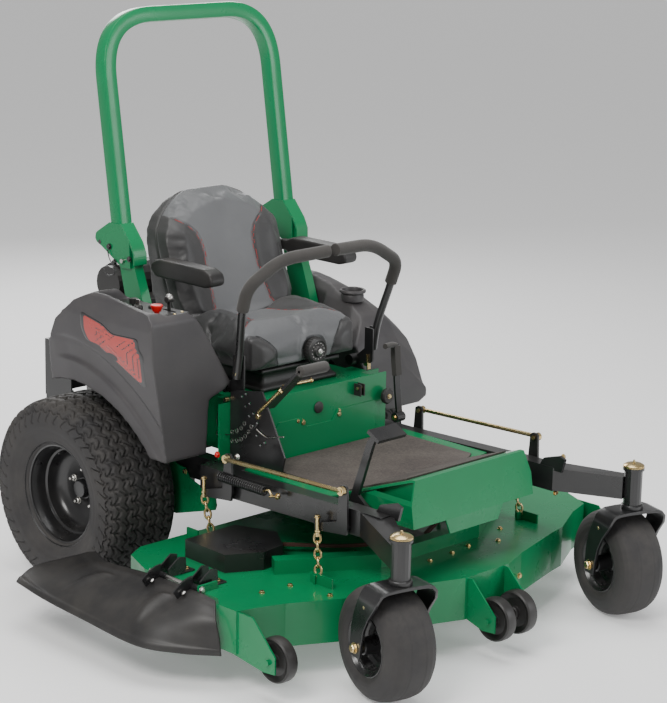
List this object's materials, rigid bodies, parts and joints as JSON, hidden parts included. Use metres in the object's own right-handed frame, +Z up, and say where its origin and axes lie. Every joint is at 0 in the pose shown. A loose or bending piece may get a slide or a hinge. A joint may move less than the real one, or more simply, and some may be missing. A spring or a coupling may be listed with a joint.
{
  "type": "zero turn mower",
  "caption": "Riding mower with two steering levers, a folding roll bar, front caster arms and a side-discharge cutting deck under the floor.",
  "frame": {"origin": "Bottom centre of the whole machine's bounding box, on the ground between the four wheels.", "axes": "+Z up; -Y is forward, towards the front casters; +Y runs to the hitch plate at the rear; the operator's right hand and the discharge chute are at -X."},
  "size_m": [1.729, 1.8914, 1.7906],
  "materials": {
    "green_paint": "gloss green paint",
    "black_paint": "satin black paint",
    "charcoal_plastic": "moulded charcoal plastic",
    "black_plastic": "moulded black plastic",
    "mat_rubber": "ribbed floor mat",
    "tread_rubber": "black tyre rubber",
    "seat_vinyl": "grey and black seat vinyl",
    "foam_grip": "closed cell foam over a painted tube",
    "zinc": "yellow zinc plating",
    "blade_steel": "worn tool steel",
    "cast_aluminium": "cast aluminium",
    "red_plastic": "red moulded knob"
  },
  "bodies": {
    "chassis": {"main_frame": "black_paint", "foot_pan": "green_paint", "floor_mat": "mat_rubber", "seat_box": "green_paint", "front_rail_right": "black_paint", "front_rail_left": "black_paint", "fender_right": "charcoal_plastic", "fender_left": "charcoal_plastic", "rops_post_right": "green_paint", "rops_post_left": "green_paint", "hydro_right": "cast_aluminium", "hydro_left": "cast_aluminium", "control_panel": "black_plastic", "engine_block": "cast_aluminium", "engine_shroud": "black_plastic", "muffler": "cast_aluminium", "rear_guard": "black_paint", "height_plate": "black_paint"},
    "roll_hoop": {"rops_hoop": "green_paint"},
    "seat_base": {"seat_suspension": "black_plastic"},
    "seat": {"seat_cushion": "seat_vinyl", "seat_back": "seat_vinyl"},
    "seat_dial": {"seat_knob": "black_plastic"},
    "armrest_right_arm": {"armrest_right": "black_plastic"},
    "armrest_left_arm": {"armrest_left": "black_plastic"},
    "steering_right": {"lever_base_right": "black_paint"},
    "steering_left": {"lever_base_left": "black_paint"},
    "bar_right": {"lap_bar_right": "foam_grip"},
    "bar_left": {"lap_bar_left": "foam_grip"},
    "drive_wheel_right": {"rear_tyre_right": "tread_rubber", "rear_rim_right": "black_paint"},
    "drive_wheel_left": {"rear_tyre_left": "tread_rubber", "rear_rim_left": "black_paint"},
    "fork_right": {"caster_fork_right": "black_paint"},
    "fork_left": {"caster_fork_left": "black_paint"},
    "caster_wheel_right": {"caster_tyre_right": "tread_rubber", "caster_rim_right": "black_paint"},
    "caster_wheel_left": {"caster_tyre_left": "tread_rubber", "caster_rim_left": "black_paint"},
    "deck": {"deck_shell": "green_paint", "belt_cover_right": "black_paint", "belt_cover_left": "black_paint"},
    "chute": {"discharge_chute": "black_plastic"},
    "cutter_right": {"blade_right": "blade_steel"},
    "cutter_centre": {"blade_centre": "blade_steel"},
    "cutter_left": {"blade_left": "blade_steel"},
    "nose_roller_right": {"roller_nose_right": "black_plastic"},
    "nose_roller_left": {"roller_nose_left": "black_plastic"},
    "corner_roller_right": {"roller_corner_right": "black_plastic"},
    "corner_roller_left": {"roller_corner_left": "black_plastic"},
    "rear_lift_shaft": {"lift_shaft_rear": "black_paint"},
    "front_lift_shaft": {"lift_shaft_front": "black_paint", "lift_pedal": "black_paint"},
    "rod_right": {"lift_rod_right": "zinc"},
    "rod_left": {"lift_rod_left": "zinc"},
    "height_handle": {"lift_handle": "black_paint"},
    "park_brake": {"brake_lever": "black_paint"},
    "blade_switch": {"pto_knob": "red_plastic"},
    "choke_pull": {"choke_knob": "black_plastic"},
    "throttle": {"throttle_lever": "black_plastic"}
  },
  "joints": [
    {"name": "rops_fold", "type": "hinge", "parent": "chassis", "child": "roll_hoop", "pos_m": [0.0795, 0.50372, 1.022], "axis": [-1, 0, 0], "range_deg": [0, 92]},
    {"name": "seat_slide", "type": "slide", "parent": "chassis", "child": "seat_base", "axis": [0, 1, 0], "range_m": [-0.05, 0.02]},
    {"name": "seat_bounce", "type": "slide", "parent": "seat_base", "child": "seat", "axis": [0, 0, 1], "range_m": [-0.045, 0], "stiffness_N_per_m": 9000, "springref_m": 0.045, "deforming": ["seat_suspension"]},
    {"name": "seat_weight_dial", "type": "hinge", "parent": "seat", "child": "seat_dial", "pos_m": [0.1145, 0.06072, 0.752], "axis": [0, -1, 0], "continuous": true},
    {"name": "armrest_right_fold", "type": "hinge", "parent": "seat", "child": "armrest_right_arm", "pos_m": [-0.1905, 0.45872, 1.004], "axis": [-1, 0, 0], "range_deg": [0, 84]},
    {"name": "steer_right", "type": "hinge", "parent": "chassis", "child": "steering_right", "pos_m": [-0.2045, 0.12572, 0.676], "axis": [1, 0, 0], "range_deg": [-12, 15], "stiffness_Nm_per_rad": 90},
    {"name": "lap_bar_right_open", "type": "hinge", "parent": "steering_right", "child": "bar_right", "pos_m": [-0.2105, 0.06572, 0.719], "axis": [0, -1, 0], "range_deg": [0, 15]},
    {"name": "drive_wheel_right_spin", "type": "hinge", "parent": "chassis", "child": "drive_wheel_right", "pos_m": [-0.4335, 0.53072, 0.305], "axis": [1, 0, 0], "continuous": true},
    {"name": "caster_right_swivel", "type": "hinge", "parent": "chassis", "child": "fork_right", "pos_m": [-0.4295, -0.83828, 0.4], "axis": [0, 0, 1], "continuous": true},
    {"name": "armrest_left_fold", "type": "hinge", "parent": "seat", "child": "armrest_left_arm", "pos_m": [0.3495, 0.45872, 1.004], "axis": [-1, 0, 0], "range_deg": [0, 84]},
    {"name": "steer_left", "type": "hinge", "parent": "chassis", "child": "steering_left", "pos_m": [0.3635, 0.12572, 0.676], "axis": [1, 0, 0], "range_deg": [-12, 15], "stiffness_Nm_per_rad": 90},
    {"name": "lap_bar_left_open", "type": "hinge", "parent": "steering_left", "child": "bar_left", "pos_m": [0.3695, 0.06572, 0.719], "axis": [0, 1, 0], "range_deg": [0, 15]},
    {"name": "drive_wheel_left_spin", "type": "hinge", "parent": "chassis", "child": "drive_wheel_left", "pos_m": [0.5925, 0.53072, 0.305], "axis": [1, 0, 0], "continuous": true},
    {"name": "caster_left_swivel", "type": "hinge", "parent": "chassis", "child": "fork_left", "pos_m": [0.5885, -0.83828, 0.4], "axis": [0, 0, 1], "continuous": true},
    {"name": "caster_right_roll", "type": "hinge", "parent": "fork_right", "child": "caster_wheel_right", "pos_m": [-0.4152, -0.77898, 0.165], "axis": [0.9722, -0.2343, 0], "continuous": true},
    {"name": "caster_left_roll", "type": "hinge", "parent": "fork_left", "child": "caster_wheel_left", "pos_m": [0.6084, -0.78058, 0.165], "axis": [0.9455, -0.3256, 0], "continuous": true},
    {"name": "deck_lift", "type": "slide", "parent": "chassis", "child": "deck", "axis": [0, 0, 1], "range_m": [-0.045, 0.03]},
    {"name": "rear_shaft_turn", "type": "hinge", "parent": "chassis", "child": "rear_lift_shaft", "pos_m": [0.0795, -0.03628, 0.4], "axis": [1, 0, 0], "range_deg": [-26, 18]},
    {"name": "front_shaft_turn", "type": "hinge", "parent": "chassis", "child": "front_lift_shaft", "pos_m": [0.0795, -0.52428, 0.415], "axis": [1, 0, 0], "range_deg": [-26, 18]},
    {"name": "lift_rod_right_turn", "type": "hinge", "parent": "rear_lift_shaft", "child": "rod_right", "pos_m": [-0.3425, -0.03628, 0.51], "axis": [1, 0, 0], "range_deg": [-18, 26]},
    {"name": "lift_rod_left_turn", "type": "hinge", "parent": "rear_lift_shaft", "child": "rod_left", "pos_m": [0.5015, -0.03628, 0.51], "axis": [1, 0, 0], "range_deg": [-18, 26]},
    {"name": "chute_fold", "type": "hinge", "parent": "deck", "child": "chute", "pos_m": [-0.6725, -0.18928, 0.246], "axis": [0, 1, 0], "range_deg": [0, 75]},
    {"name": "blade_centre_spin", "type": "hinge", "parent": "deck", "child": "cutter_centre", "pos_m": [0.0795, -0.38728, 0.126], "axis": [0, 0, 1], "continuous": true},
    {"name": "blade_right_spin", "type": "hinge", "parent": "deck", "child": "cutter_right", "pos_m": [-0.3885, -0.15928, 0.126], "axis": [0, 0, 1], "continuous": true},
    {"name": "blade_left_spin", "type": "hinge", "parent": "deck", "child": "cutter_left", "pos_m": [0.5475, -0.15928, 0.126], "axis": [0, 0, 1], "continuous": true},
    {"name": "nose_roller_right_spin", "type": "hinge", "parent": "deck", "child": "nose_roller_right", "pos_m": [0.0325, -0.78928, 0.121], "axis": [1, 0, 0], "continuous": true},
    {"name": "nose_roller_left_spin", "type": "hinge", "parent": "deck", "child": "nose_roller_left", "pos_m": [0.1265, -0.78928, 0.121], "axis": [1, 0, 0], "continuous": true},
    {"name": "corner_roller_right_spin", "type": "hinge", "parent": "deck", "child": "corner_roller_right", "pos_m": [-0.6555, -0.59528, 0.121], "axis": [1, 0, 0], "continuous": true},
    {"name": "corner_roller_left_spin", "type": "hinge", "parent": "deck", "child": "corner_roller_left", "pos_m": [0.8015, -0.58728, 0.121], "axis": [1, 0, 0], "continuous": true},
    {"name": "height_handle_swing", "type": "hinge", "parent": "chassis", "child": "height_handle", "pos_m": [-0.2135, -0.04128, 0.62], "axis": [1, 0, 0], "range_deg": [-25, 25]},
    {"name": "park_brake_swing", "type": "hinge", "parent": "chassis", "child": "park_brake", "pos_m": [0.4015, -0.03528, 0.506], "axis": [1, 0, 0], "range_deg": [0, 30]},
    {"name": "blade_switch_pull", "type": "slide", "parent": "chassis", "child": "blade_switch", "axis": [0, 0, 1], "range_m": [0, 0.012]},
    {"name": "choke_slide", "type": "slide", "parent": "chassis", "child": "choke_pull", "axis": [0, 0, 1], "range_m": [0, 0.03]},
    {"name": "throttle_swing", "type": "hinge", "parent": "chassis", "child": "throttle", "pos_m": [-0.4045, 0.15872, 0.936], "axis": [1, 0, 0], "range_deg": [-25, 25]}
  ],
  "couplings": [
    {"joint": "rear_shaft_turn", "follows": "deck_lift", "rad_per_m": 9.6},
    {"joint": "front_shaft_turn", "follows": "deck_lift", "rad_per_m": 9.6},
    {"joint": "lift_rod_right_turn", "follows": "deck_lift", "rad_per_m": -9.6},
    {"joint": "lift_rod_left_turn", "follows": "deck_lift", "rad_per_m": -9.6},
    {"joint": "blade_right_spin", "follows": "blade_centre_spin", "ratio": 1},
    {"joint": "blade_left_spin", "follows": "blade_centre_spin", "ratio": 1}
  ]
}
